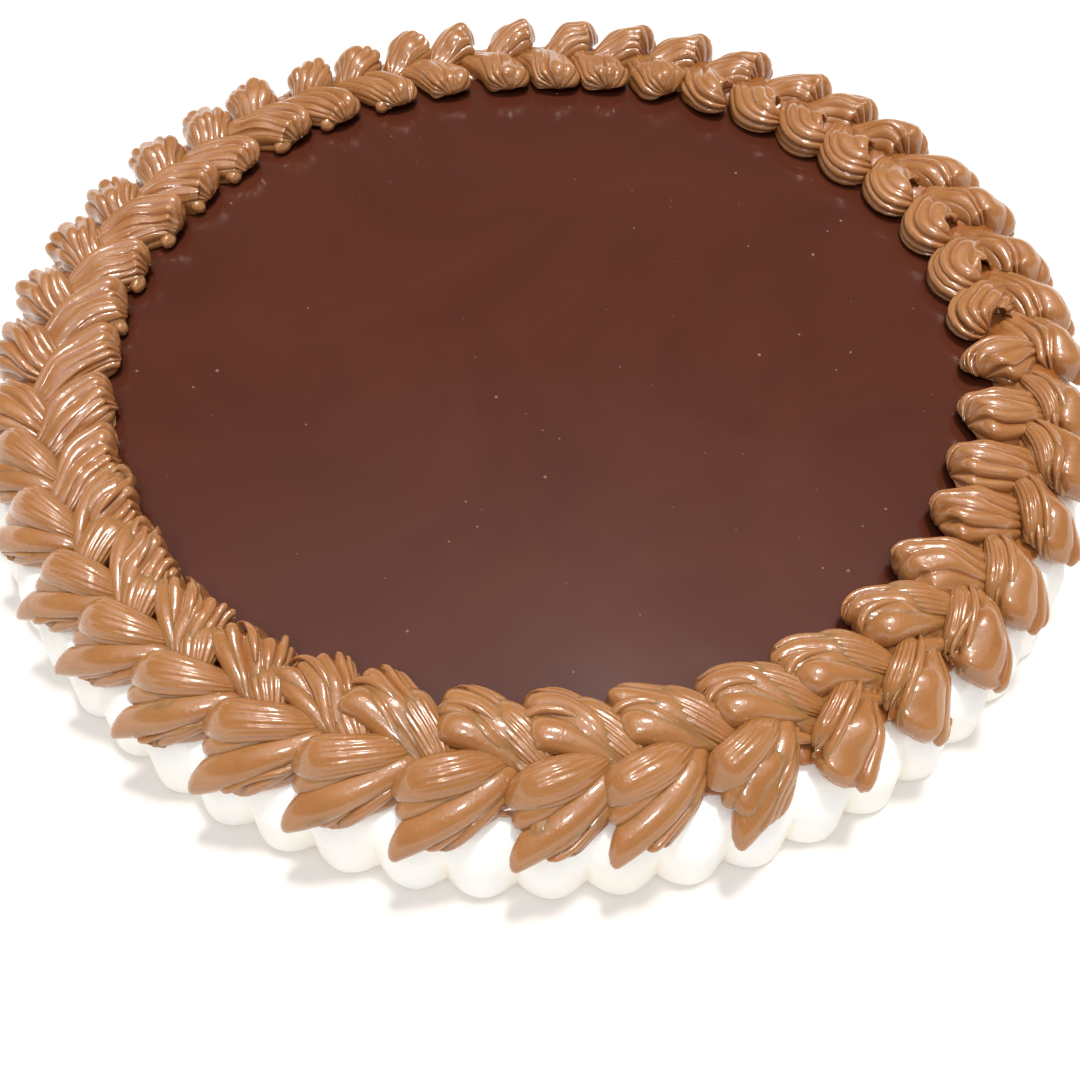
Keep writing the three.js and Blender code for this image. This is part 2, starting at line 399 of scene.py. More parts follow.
INNER = {"name": "inner", "side": INSIDE, "shells": 41, "start": -87.2, "keys": [
    # At the back right: round curled heads with ridges across them, pressed up against one another
    key(40, [(114.0, -6.8), (108.0, -4.2), (112.0, 5.0), (124.0, 13.5)],
        half=(8.0, 4.2), tops=(8.8, 8.8, 4.2), dome=0.85, blunt=0.8, twist=0.3,
        widths=[0.8, 1.2, 1.8, 1.7, 1.1, 0.9, 0.7, 0.6],
        grooves=[0.6, 0.8, 0.7, 0.9, 0.7, 0.8, 0.5]),
    # At the back: small curled heads that the long tail of each rises to
    key(95, [(101.2, -4.5), (107.5, -4.5), (115.0, 0.5), (124.0, 10.5)],
        half=(7.4, 3.6), tops=(8.8, 8.0, 3.4), dome=1.0, blunt=0.5, twist=1.3,
        widths=[1.6, 1.5, 1.4, 1.0, 0.9, 0.8, 0.8, 0.6],
        grooves=[0.7, 0.6, 0.9, 0.7, 0.9, 0.6, 0.6]),
    # At the back left and left: waves, whose ridges arch over at the head and run on along the ring
    key(141, [(104.3, 0.5), (110.5, 1.5), (115.0, 9.5), (124.0, 23.0)],
        half=(7.8, 3.2), tops=(8.8, 8.0, 3.2), dome=0.7, twist=0.4, hook=1.2,
        widths=[2.2, 1.4, 0.9, 0.9, 0.8, 0.8, 0.7, 0.6],
        tails=[1.6, 1.3, 1, 1, 0.9, 0.9, 0.8, 0.8],
        reach=[-0.5, 0.4, 0.8, 0.6, 0.5, 0.3, 0.0, -0.4],
        raised=[0.4, 0.8, 0, -0.4, -0.6, -0.6, -0.3, 0],
        grooves=[0.5, 1.2, 0.9, 0.9, 0.8, 0.8, 0.7],
        late=[0.1, 0.4, 0.25, 0.25, 0.25, 0.25, 0.25]),
    key(187, [(104.8, 2.8), (110.2, 4.0), (116.0, 10.5), (125.0, 21.5)],
        half=(8.2, 3.4), tops=(8.6, 8.2, 3.2), dome=0.5, twist=0.1, hook=0.6,
        widths=[2.0, 1.5, 0.9, 0.9, 0.8, 0.8, 0.7, 0.6],
        tails=[1.6, 1.4, 1, 1, 0.9, 0.9, 0.8, 0.8],
        reach=[-0.5, 0.4, 0.8, 0.6, 0.5, 0.3, 0.0, -0.4],
        raised=[0.3, 0.7, 0, -0.3, -0.5, -0.4, -0.2, 0],
        grooves=[0.6, 1.3, 1.0, 0.9, 0.9, 0.8, 0.7],
        late=[0.2, 0.5, 0.35, 0.35, 0.35, 0.35, 0.35]),
    # At the front left: straight fans with the separate ends of their strands showing
    key(212, [(106.5, 2.0), (111.5, 3.5), (117.0, 9.0), (125.0, 18.0)],
        half=(9.2, 3.4), tops=(8.4, 8.0, 4.2), dome=0.1, slant=0.45, hook=0.6,
        widths=[1.9, 1.2, 1.2, 1.0, 1.0, 0.9, 0.9, 0.8],
        reach=[0.0, 0.9, 0.2, 0.9, 0.3, 0.8, 0.1, 0.0],
        raised=[0.3, 0, 0, 0, 0, 0, 0, 0],
        grooves=[1.2, 1.1, 1.1, 1.0, 1.0, 0.9, 0.8],
        late=[0.6] * GROOVES),
    key(233, [(109.0, 0.6), (113.3, 4.5), (118.5, 9.5), (125.0, 16.5)],
        half=(9.4, 3.6), tops=(8.6, 8.4, 4.4), dome=0.0, slant=0.58, hook=0.3,
        widths=[2.0, 1.3, 1.1, 1.0, 1.0, 0.9, 0.9, 0.8],
        reach=[0.2, 1.6, 0.0, 1.2, 0.0, 0.9, 0.2, 0.0],
        raised=[0.4, 0, 0, 0, 0, 0, 0, 0],
        grooves=[1.4, 1.2, 1.2, 1.0, 1.0, 0.9, 0.8],
        late=[0.7] * GROOVES),
    # At the front: shells laid on their side, whose cap stands over strands that draw back below it
    key(259, [(111.6, -6.0), (111.8, 0.0), (116.3, 7.0), (125.5, 16.5)],
        half=(8.4, 4.2), tops=(8.4, 9.2, 4.2), dome=0.12, slant=0.2,
        widths=[0.9, 3.0, 0.8, 1.6, 0.8, 0.7, 0.7, 0.7],
        tails=[0.9, 2.0, 0.8, 1.0, 1.0, 1.0, 1.0, 1.0],
        reach=[-1.5, 0.2, 0.9, 1.4, -0.3, -1.2, -2.2, -3.4],
        raised=[-1.0, -1.0, 0, 0, 0, 0, 0, 0],
        grooves=[0.8, 1.0, 0.7, 1.0, 1.1, 1.1, 1.0],
        late=[0.6, 0.4, 0.6, 1, 1, 1, 1]),
    key(275, [(113.2, -7.2), (112.0, -0.5), (116.3, 7.0), (125.5, 16.0)],
        half=(8.7, 4.4), tops=(8.4, 9.8, 4.0), dome=0.15,
        widths=[0.8, 4.0, 0.8, 1.7, 0.7, 0.6, 0.6, 0.6],
        tails=[0.9, 2.2, 0.7, 1.0, 1.0, 1.0, 1.0, 1.0],
        reach=[-1.8, -0.6, 1.2, 0.8, -0.6, -1.6, -2.8, -4.0],
        raised=[-1.2, -1.4, 0, 0, 0, 0, 0, 0],
        grooves=[0.8, 1.0, 0.4, 0.9, 1.0, 1.0, 1.0],
        late=[0.5, 0.3, 0.5, 1, 1, 1, 1]),
    key(299, [(114.3, -7.8), (112.6, -1.0), (117.0, 5.5), (126.0, 14.0)],
        half=(8.3, 4.8), tops=(8.6, 9.8, 3.4), dome=0.35, blunt=0.8,
        widths=[1.2, 2.9, 2.1, 1.6, 0.7, 0.6, 0.6, 0.5],
        tails=[1.2, 1.7, 1.3, 1.2, 0.9, 0.9, 0.9, 0.9],
        reach=[-1.0, -0.4, 0.7, 0.3, -0.5, -1.4, -2.4, -3.4],
        raised=[-0.5, -0.7, 0, 0, 0, 0, 0, 0],
        grooves=[1.0, 0.8, 0.9, 0.7, 0.7, 0.7, 0.7],
        late=[0.5, 0.5, 0.6, 1, 1, 1, 1]),
    # At the right: broad heads that turn in a curl, rounder and closer together towards the back
    key(338, [(106.3, -6.5), (110.5, -3.5), (117.0, 0.0), (126.5, 8.5)],
        half=(8.1, 4.6), tops=(8.8, 9.2, 3.8), dome=0.9, blunt=1, twist=1.25, hook=0.5,
        widths=[1.3, 1.7, 1.2, 1.5, 1.0, 1.1, 0.8, 0.8],
        grooves=[1.1, 1.5, 0.9, 1.5, 0.9, 1.1, 0.8]),
    key(372, [(115.0, -8.0), (108.3, -6.5), (112.0, 2.0), (125.0, 11.0)],
        half=(8.2, 4.4), tops=(8.6, 9.0, 4.4), dome=0.85, blunt=0.9, twist=0.3,
        widths=[1.1, 1.4, 1.4, 1.4, 1.0, 1.1, 0.8, 0.8],
        grooves=[1.0, 1.3, 1.0, 1.3, 0.9, 1.1, 0.8]),
]}
OUTER = {"name": "outer", "side": OUTSIDE, "shells": 43, "start": -90.0, "keys": [
    # At the back: tall domes, whose ridges run up from the tail and curl down over the head
    key(55, [(128.0, -9.5), (130.0, -5.0), (125.5, 0.5), (117.0, 7.5)],
        half=(8.5, 5.0), tops=(12.4, 10.4, 5.4), dome=0.95, twist=0.8,
        widths=[0.8, 0.9, 1.0, 1.1, 1.3, 1.4, 1.2, 0.9],
        grooves=[0.6, 0.7, 0.7, 0.8, 0.7, 0.6, 0.5]),
    key(100, [(129.0, -7.5), (130.5, -3.5), (126.0, 1.0), (118.0, 6.5)],
        half=(8.5, 3.8), tops=(12.4, 10.4, 3.8), dome=0.95, twist=0.6,
        widths=[0.8, 0.9, 1.0, 1.1, 1.3, 1.4, 1.2, 0.9],
        grooves=[0.6, 0.7, 0.7, 0.8, 0.7, 0.6, 0.5]),
    # At the back left and left: pleated fans with a scalloped rim
    key(130, [(131.5, -8.5), (127.5, -7.0), (123.0, -4.5), (116.5, 2.0)],
        half=(8.8, 3.8), tops=(10.6, 9.8, 4.0), dome=0.6,
        widths=[0.8, 1.2, 1.2, 1.2, 1.2, 1.2, 1.2, 0.8],
        reach=[-1.6, -0.3, 0.4, 0.6, 0.5, 0.2, -0.4, -1.8],
        grooves=[0.6, 0.75, 0.75, 0.75, 0.75, 0.75, 0.6]),
    key(165, [(132.0, -7.0), (128.0, -4.5), (123.5, -1.5), (117.0, 6.0)],
        half=(8.7, 4.0), tops=(9.4, 9.2, 4.0), dome=0.3,
        widths=[0.7, 1.1, 1.1, 1.2, 1.2, 1.4, 1.5, 0.8],
        reach=[-1.8, -0.2, 0.6, 0.9, 0.8, 0.8, 0.2, -1.6],
        grooves=[0.7, 0.8, 0.8, 0.9, 1.0, 1.0, 0.8],
        over=[0, 0, 0, 0, 0.1, 0.2, 0.1]),
    key(190, [(133.0, -6.0), (129.5, -3.0), (125.0, 0.5), (118.0, 9.0)],
        half=(8.7, 4.2), tops=(7.8, 8.6, 3.8), dome=0.1, slant=0.2,
        widths=[0.8, 0.9, 0.9, 1.0, 1.6, 1.9, 1.3, 0.8],
        reach=[-1.6, -0.6, 0.2, 0.6, 1.0, 1.4, 0.4, -1.2],
        raised=[0, 0, 0, 0, 0.4, 0.5, 0.2, 0],
        grooves=[0.7, 0.7, 0.8, 1.1, 1.6, 1.4, 0.9],
        late=[0.6] * GROOVES,
        over=[0, 0, 0, 0.1, 0.2, 0.2, 0.1]),
    # At the front left and front: low shells of strands, which a ribbed mound and a smooth tongue lie on
    key(212, [(132.5, -7.0), (130.0, -3.0), (126.0, 3.0), (119.0, 11.5)],
        half=(8.5, 4.4), tops=(5.2, 6.6, 3.0), dome=0.0,
        widths=[1.0, 1.2, 1.3, 1.3, 1.4, 1.2, 0.9, 0.8],
        reach=[-1.6, -1.4, -1.2, -1.4, -1.0, -1.2, -2.0, -3.0],
        grooves=[0.6, 0.7, 0.8, 0.9, 0.9, 0.9, 0.8],
        late=[0.8] * GROOVES),
    key(248, [(132.3, -6.5), (130.3, -0.5), (126.5, 6.5), (119.5, 15.0)],
        half=(8.8, 4.2), tops=(5.0, 6.6, 3.2), dome=0.0,
        widths=[1.0, 1.2, 1.4, 1.4, 1.6, 1.2, 0.8, 0.7],
        reach=[-1.4, -1.2, -1.0, -1.2, -0.8, -1.2, -2.4, -3.6],
        grooves=[0.6, 0.7, 0.8, 1.0, 0.9, 0.9, 0.8],
        late=[0.8] * GROOVES),
    key(274, [(131.8, -4.5), (129.8, 2.5), (126.0, 8.8), (119.5, 15.5)],
        half=(9.0, 4.4), tops=(5.0, 6.6, 3.4), dome=0.0,
        widths=[1.0, 1.2, 1.4, 1.4, 1.6, 1.2, 0.8, 0.7],
        reach=[-1.4, -1.2, -1.0, -1.2, -0.8, -1.2, -2.8, -4.2],
        grooves=[0.6, 0.7, 0.8, 1.0, 0.9, 0.9, 0.8],
        late=[0.8] * GROOVES),
    # At the front right: fine strands on the trailing side, and a broad lobe beyond them
    key(297, [(134.0, -1.5), (131.0, 2.5), (126.5, 7.0), (119.0, 13.0)],
        half=(8.8, 4.6), tops=(6.2, 8.4, 4.0), dome=0.0, twist=0.3,
        widths=[0.8, 0.8, 0.8, 0.6, 3.4, 1.3, 0.7, 0.6],
        tails=[1.4, 1.4, 1.3, 0.6, 1.3, 0.9, 0.8, 0.8],
        reach=[-2.6, -1.8, -1.0, 0.0, 2.0, 0.8, -1.2, -2.6],
        raised=[0, 0, 0, 0, 0.4, 0, 0, 0],
        grooves=[0.7, 0.8, 0.9, 1.5, 0.9, 0.8, 0.6],
        late=[0.7] * GROOVES),
    # At the right: broad smooth lobes that curve round one another, and rise to domes further back
    key(325, [(133.0, -3.5), (131.0, 1.0), (126.0, 6.5), (118.0, 13.0)],
        half=(8.7, 4.6), tops=(7.4, 9.0, 4.0), dome=0.4, twist=0.4,
        widths=[0.8, 0.9, 0.9, 0.8, 3.0, 1.5, 0.8, 0.6],
        tails=[1.4, 1.4, 1.3, 0.8, 1.2, 0.9, 0.8, 0.8],
        reach=[-2.0, -1.4, -0.6, 0.0, 1.2, 0.6, -0.8, -2.0],
        raised=[0, 0, 0, 0, 0.4, 0, 0, 0],
        grooves=[0.7, 0.8, 0.8, 0.8, 0.9, 0.8, 0.6],
        late=[0.7] * GROOVES),
    key(372, [(129.5, -9.0), (131.0, -3.5), (125.5, 3.0), (116.5, 10.5)],
        half=(8.6, 5.2), tops=(9.6, 10.0, 5.4), dome=0.85, twist=0.9,
        widths=[0.8, 0.9, 1.0, 0.6, 2.6, 1.5, 0.9, 0.6],
        tails=[1.3, 1.3, 1.2, 0.7, 1.2, 0.9, 0.8, 0.8],
        raised=[0, 0, 0, 0.4, 0.2, 0, 0, 0],
        grooves=[0.7, 0.8, 0.9, 1.1, 0.9, 0.8, 0.6]),
]}


def mix(a, b, share):
    return a + (b - a) * share


class Shell:
    """One shell: its place in the braid, and what it is like there."""

    def __init__(self, row, number):
        self.number, self.side = number, row["side"]
        self.angle = row["start"] + number * 360 / row["shells"] + TURN_SPREAD * self.draw("turn")
        self.blend_keys(row["keys"])
        self.size = 1 + SIZE_SPREAD * self.draw("size")
        shift = HEAD_SPREAD * self.draw("head")
        self.line = self.bend(self.line + [[shift, 0], [0, 0], [0, 0], [0, 0]])
        steps = np.linalg.norm(np.diff(self.line, axis=0), axis=1)
        self.run = np.concatenate([[0], np.cumsum(steps)])
        self.length = self.run[-1]

    def draw(self, purpose, index=0):
        """A repeatable draw between -1 and 1 for this shell and one purpose."""
        seed = self.number * 12.9898 + self.side * 37.719 + (DRAWS[purpose] + index) * 78.233
        value = math.sin(seed) * 43758.5453
        return 2 * (value - math.floor(value)) - 1

    def blend_keys(self, keys):
        """Take on what the keys before and after the shell's angle say, each by how near it is."""
        turn = keys[0]["at"] + (self.angle - keys[0]["at"]) % 360
        after = next((i for i, k in enumerate(keys) if k["at"] > turn), 0)
        before, after = keys[after - 1], keys[after]
        gap = (after["at"] - before["at"]) % 360
        share = float(ease(turn, before["at"], before["at"] + gap))
        for name in before:
            setattr(self, name, mix(before[name], after[name], share))

    def bend(self, corners):
        """The curve that the shell is laid along, from its head to its tail."""
        radius = corners[:, 0]
        turn = np.radians(self.angle) + corners[:, 1] / MIDDLE
        a, b, c, d = np.stack([radius * np.cos(turn), radius * np.sin(turn)], -1)
        t = np.linspace(0, 1, LINE_POINTS)[:, None]
        return (1 - t) ** 3 * a + 3 * t * (1 - t) ** 2 * b + 3 * t * t * (1 - t) * c + t ** 3 * d

    def along(self, distance):
        """Points on the line, which runs straight on past its two ends."""
        inside = np.clip(distance, 0, self.length)
        x = np.interp(inside, self.run, self.line[:, 0])
        y = np.interp(inside, self.run, self.line[:, 1])
        past = distance - inside
        first, last = self.line[1] - self.line[0], self.line[-1] - self.line[-2]
        way = np.where(past[..., None] < 0, first / np.linalg.norm(first), last / np.linalg.norm(last))
        return np.stack([x, y], -1) + past[..., None] * way

    def place(self, share, across, height):
        """Points at a share of the length, so far to the leading side and above the cake."""
        share, across, height = np.broadcast_arrays(np.asarray(share, float), across, height)
        distance = share * self.length
        point = self.along(distance)
        way = self.along(distance + 1.2) - self.along(distance - 1.2)
        way /= np.linalg.norm(way, axis=-1)[..., None]
        pull = self.slant * across * (1 - np.clip(share, 0, 1))
        x = point[..., 0] + self.side * way[..., 1] * across + way[..., 0] * pull
        y = point[..., 1] - self.side * way[..., 0] * across + way[..., 1] * pull
        over = np.maximum(0, np.hypot(x, y) - SHOULDER) / OVERHANG
        ground = TOP - SHOULDER_DROP * over - EDGE_DROP * over ** 3
        return np.stack([x, y, ground + height], -1)

    def half_width(self, share):
        wide, narrow = self.half * self.size
        share = np.clip(share, 0, 1)
        return mix(wide, narrow, mix(share, ease(share, 0.25, 1), self.dome))

    def hooked(self, share):
        """How far the head has bent over to the leading side."""
        return self.hook * np.clip(1 - share / 0.35, 0, 1.2) ** 2

    def top(self, share):
        head, middle, tail = self.tops * self.size
        return mix(mix(head, middle, ease(share, 0, 0.35)), tail, ease(share, 0.35, 1))


def stations():
    """Shares of the length, closer together at the two round ends."""
    head = HEAD_SHARE * (1 - np.cos(np.linspace(0, math.pi / 2, HEAD_STATIONS)))
    body = np.linspace(HEAD_SHARE, 1 - TAIL_SHARE, BODY_STATIONS)
    tail = 1 - TAIL_SHARE * (1 - np.sin(np.linspace(0, math.pi / 2, TAIL_STATIONS)))
    return np.concatenate([head, body[1:], tail[1:]])


def rounded(distance, reach):
    """From almost 0 at an end to 1 at the reach from it, like a quarter of a circle."""
    return np.sqrt(np.clip(1 - (1 - np.clip(distance / reach, 0, 1)) ** 2, 0.0004, 1))


def crease(share):
    """How far a strand's side has sunk, from 0 at its crest to 1 in the groove."""
    return mix(share ** 2, 1 - math.sqrt(1 - share ** 2), 0.5)


def edges(widths):
    """Where the strands of the given widths begin and end, from -1 to 1 across a shell."""
    return np.concatenate([[0], np.cumsum(widths)]) / widths.sum() * 2 - 1


def strand_columns(shell):
    """For each column of points across a shell: its place, and what its strand does there."""
    vary = np.array([shell.draw("strands", i) for i in range(STRANDS)])
    vary_too = np.array([shell.draw("grooves", i) for i in range(STRANDS)])
    phase = [3 * shell.draw("phases", i) for i in range(STRANDS + 1)]
    edges_head = edges(shell.widths * (1 + mix(0.15, 0.35, shell.dome) * vary))
    edges_tail = edges(shell.tails)
    reach = shell.reach + 0.7 * vary_too * (1 - shell.dome)
    depth = shell.grooves * (1 + 0.3 * vary_too[1:])
    deep = np.concatenate([[0.2], depth, [0.2]])
    deep_tail = np.concatenate([[0.1], depth * shell.late, [0.1]])
    hang = np.concatenate([shell.over, [0]])
    hang_tail = np.concatenate([shell.over * shell.late, [0]])
    gap = mix(0.6, 0.1, shell.dome)
    corner = mix(2.2, 0.8, shell.dome)
    notch = np.concatenate([[reach[0] - 1], np.minimum(reach[1:], reach[:-1]) - gap, [reach[-1] - 1]])
    rows = []
    for i in range(STRANDS):
        for k in range(COLUMNS_A_STRAND + (i == STRANDS - 1)):
            u = round(-math.cos(math.pi * k / COLUMNS_A_STRAND), 6)
            share = (u + 1) / 2
            at_head = mix(edges_head[i], edges_head[i + 1], share)
            left, right = crease(max(0, -u)), crease(max(0, u))
            # The sides of a strand are marked for painted shade as they sink into a groove
            shade_left = min(1, deep[i] / FULL_SHADE) * left ** 1.4
            shade_right = min(1, deep[i + 1] / FULL_SHADE) * right ** 1.4
            edge = notch[i] if u < 0 else notch[i + 1]
            fullness = max(0, 1 - abs(u) ** 1.6) ** 0.6
            leaning = float(ease(max(0, u), 0.2, 0.9)) * (u < 1)
            rows.append({
                "head": at_head,
                "tail": mix(edges_tail[i], edges_tail[i + 1], share),
                "sink": deep[i] * left + deep[i + 1] * right,
                "sink_tail": deep_tail[i] * left + deep_tail[i + 1] * right,
                "painted_shade": shade_left + shade_right,
                "lift": (0.35 * vary[i] + shell.raised[i]) * (1 - u * u) * (1 - 0.4 * u),
                "reach": edge + (reach[i] - edge) * fullness - corner * abs(at_head) ** 5,
                "lean": hang[i] * leaning,
                "lean_tail": hang_tail[i] * leaning,
                "phase": phase[i] if u < 0 else phase[i + 1],
                "wave": 0.07 * math.sin(0.9 * (i + share) + 3 * shell.draw("wave")),
            })
    return {name: np.array([row[name] for row in rows]) for name in rows[0]}


def close_ends(rows, columns):
    """Faces of a tube of points whose two ends are closed on one point each, that come after the grid."""
    faces = grid_faces(rows, columns)
    tip, last = rows * columns, (rows - 1) * columns
    for k in range(columns):
        ahead = (k + 1) % columns
        faces.append([tip, ahead, k])
        faces.append([tip + 1, last + k, last + ahead])
    return faces


def facing_out(points, faces):
    """The faces, turned about if they look into the body."""
    first = points[[face[0] for face in faces]]
    second = points[[face[1] for face in faces]]
    third = points[[face[2] for face in faces]]
    last = points[[face[-1] for face in faces]]
    middle = points.mean(axis=0)
    volume = np.einsum("ij,ij->i", first - middle, np.cross(second - middle, third - middle)).sum()
    volume += np.einsum("ij,ij->i", first - middle, np.cross(third - middle, last - middle)).sum()
    return faces if volume > 0 else [face[::-1] for face in faces]


def close_body(points, grain, painted_shade, tip_painted_shade):
    """Points, faces and marks of a body from its rings of points, closed at both ends."""
    rows, columns = points.shape[:2]
    tips = np.stack([points[0].mean(axis=0), points[-1].mean(axis=0)])
    points = np.concatenate([points.reshape(-1, 3), tips])
    grain = grain.reshape(-1, 3)
    marks = {"grain": np.concatenate([grain, grain[:1], grain[-1:]]),
             "painted_shade": np.concatenate([painted_shade.ravel(), [tip_painted_shade, tip_painted_shade]])}
    return points, facing_out(points, close_ends(rows, columns)), marks


def head_width(shell, start):
    """The share of its width that a shell has, so many mm from the end of its head."""
    square_end = mix(0.86, 1, rounded(start, 2.0))
    narrowest = mix(0.35, 0.1, shell.blunt)
    round_end = mix(narrowest, 1, rounded(start, mix(6.0, 4.2, shell.blunt)))
    return mix(square_end, round_end, shell.dome)


def make_shell(shell):
    """Points, faces and marks of one shell: a closed body with its strands raised on it."""
    v = stations()[:, None]
    c = strand_columns(shell)
    centre = len(c["head"]) // 2
    begin = -c["reach"] / shell.length
    s = begin + (1 - begin) * v
    start = v * (1 - begin) * shell.length

    # The strands run from their places at the head to those at the tail, and waver a little
    spread = mix(c["head"], c["tail"], ease(s, 0.05, 0.85))
    spread = spread + c["wave"] * np.sin(5 * s + 4 * shell.draw("wave_start")) * ease(s, 0, 0.3)

    # The cross-section is a rounded arch that tucks in under the shell at both sides
    head_round = mix(1.9, mix(4.2, 3.2, shell.blunt), shell.dome)
    round_off = rounded(start, head_round) * rounded(1 - v, 0.1)
    half = shell.half_width(s) * head_width(shell, start) * mix(0.3, 1, rounded(1 - v, 0.22))
    slender = np.minimum(1, 1.5 * half / shell.half[0])
    middle = mix(HEAD_BELLY, TAIL_BELLY, ease(s, 0.2, 1))
    tall = shell.top(s) - middle
    theta = TUCK * spread - shell.side * shell.twist * (0.4 - s) * (1 - np.abs(spread))
    across = half * np.sign(np.sin(theta)) * np.abs(np.sin(theta)) ** mix(0.8, 1, shell.dome)
    across = mix(across, half * 1.06 * spread, 0.35 * (1 - shell.dome))
    up = np.sign(np.cos(theta)) * np.abs(np.cos(theta)) ** mix(0.62, 0.9, shell.dome)
    set_in = ease(v, 0, 0.14)
    settled = ease(s, 0.15, 0.7)
    lean = mix(c["lean"], c["lean_tail"], settled) * ease(s, -0.1, 0.25) * slender * set_in
    across = across + lean + shell.hooked(s)
    points = shell.place(s, across, middle + tall * round_off * up)

    # The grooves sink between the strands, and soft lumps lie over all of it
    normal = np.cross(np.gradient(points, axis=1), np.gradient(points, axis=0)) * -shell.side
    normal = np.where(normal[:, centre, None, 2:3] < 0, -normal, normal)
    normal /= np.linalg.norm(normal, axis=-1)[..., None] + 1e-9
    lumps = 0.26 * np.sin(0.55 * across + 9 * s + 6 * shell.draw("lumps"))
    lumps = lumps + 0.2 * np.sin(14 * s - 0.4 * across + 6 * shell.draw("cross_lumps"))
    from_edge = np.where(c["reach"] < -1.5, set_in, 1)
    sink = mix(c["sink"], c["sink_tail"], settled) * (1 + 0.3 * np.sin(7 * s + c["phase"])) * from_edge
    sink = sink * slender - c["lift"] * (1 - ease(s, 0.5, 1))
    points += normal * ((lumps - sink) * np.minimum(1, 1.3 * round_off))[..., None]

    # A keel of points under the shell closes it
    keel = shell.place(s.mean(axis=1), 0.0, (middle - 0.3 * tall * round_off)[:, centre])
    points = np.concatenate([points, keel[:, None, :]], axis=1)
    grain = np.stack([across + 0 * s, s * shell.length, np.full(s.shape, 9.0 * shell.number)], -1)
    grain = np.concatenate([grain, grain[:, :1]], axis=1)
    # The keel under the shell is marked for full painted shade, and its two end points for half
    painted_shade = np.concatenate([c["painted_shade"] + 0 * s, np.ones((len(s), 1))], axis=1)
    return close_body(points, grain, painted_shade, 0.5)


STRAND_STEPS = 26
STRAND_SIDES = 24
SIDES_A_RIB = 5
FINE_RIBS = 10
SMOOTHINGS = 6


def smoothed(values, where):
    """Values read at shares of their length, with the corners between them smoothed out."""
    values = np.interp(where, np.linspace(0, 1, len(values)), values)
    for _ in range(SMOOTHINGS):
        values[1:-1] = (values[:-2] + 2 * values[1:-1] + values[2:]) / 4
    return values[:, None]


def make_strand(shell, path, widths, thickness, ends=(0.16, 0.16), cut=0.0, ribs=7, relief=0.015,
                place=None):
    """A strand of its own that lies on a shell, along points of share, across and height.

    Its widths and thicknesses run from its head to its tail. Ends are the shares that round off at both,
    the cut slants its head, and its ribs stand up by the relief, a share of its thickness. Place turns
    share, across and height into points, and is the shell's own where none is given.
    """
    steps = np.linspace(0, 1, STRAND_STEPS)
    fine = mix(steps, (1 - np.cos(math.pi * steps)) / 2, 0.75)
    share, across, height = [smoothed(values, fine) for values in zip(*path)]
    end = (rounded(fine, ends[0]) * rounded(1 - fine, ends[1]))[:, None]
    sides = STRAND_SIDES if ribs < FINE_RIBS else SIDES_A_RIB * ribs
    around = np.linspace(0, 2 * math.pi, sides, endpoint=False)
    fold = np.abs(np.sin(ribs * around / 2 + 3 * shell.draw("folds") + 0.7 * fine[:, None])) ** 0.8
    swell = 1 + 0.05 * np.sin(9 * fine + 5 * shell.draw("swell"))[:, None]
    ribbed = relief * ease(fine, 0.15, 0.55)[:, None] * (1 + 0.5 * np.sin(3 * around + 5 * fine[:, None]))
    girth = end * (swell + ribbed * (2 * fold - 1))
    share = share + cut * end * np.cos(around) * np.clip(1 - fine / 0.4, 0, 1)[:, None]
    across = across + smoothed(widths, fine) / 2 * girth * np.cos(around)
    height = height + smoothed(thickness, fine) / 2 * girth * np.sin(around)
    points = (place or shell.place)(share, across, height)
    grain = np.stack([across, share * shell.length, np.full(share.shape, 9.0 * shell.number + 4)], -1)
    # Their undersides and the valleys between their ribs are marked for painted shade
    under = np.clip(-np.sin(around), 0, 1) + 0 * fold
    painted_shade = np.maximum(under, 8 * ribbed * (1 - fold) ** 2)
    return close_body(points, grain, painted_shade, 0)


# The angles of the ring between which the shells of a row carry each kind of laid strand
WITH_LOBE = (250, 312)
WITH_FLAP = (204, 250)
WITH_LIP = (204, 312)
WITH_NUB = (112, 178)
WITH_MOUND = (198, 291)
WITH_BUNDLE = (291, 352)
NUB_SHARE = 0.19
NUB_INSET = 0.7
NUB_WIDTH = 5.0


def make_nub(shell):
    """The nub where a strand was broken off, tucked in under the head."""
    side = float(shell.half_width(NUB_SHARE)) - NUB_INSET
    spot = shell.place(NUB_SHARE, side, 0.0)
    inward = -spot[:2] / np.linalg.norm(spot[:2])

    def towards_middle(share, across, height):
        """Points along a line from the spot to the middle of the cake."""
        share, across, height = np.broadcast_arrays(share * shell.length, across, height)
        x = spot[0] + inward[0] * share - inward[1] * across
        y = spot[1] + inward[1] * share + inward[0] * across
        return np.stack([x, y, TOP + height], -1)

    wide = NUB_WIDTH + 1.2 * shell.draw("nub")
    path = [(-0.07, 0, 2.0), (0.0, 0, 2.3), (0.07, 0, 2.0)]
    return make_strand(shell, path, [wide, wide], [3.4, 3.8], ends=(0.5, 0.5), place=towards_middle)


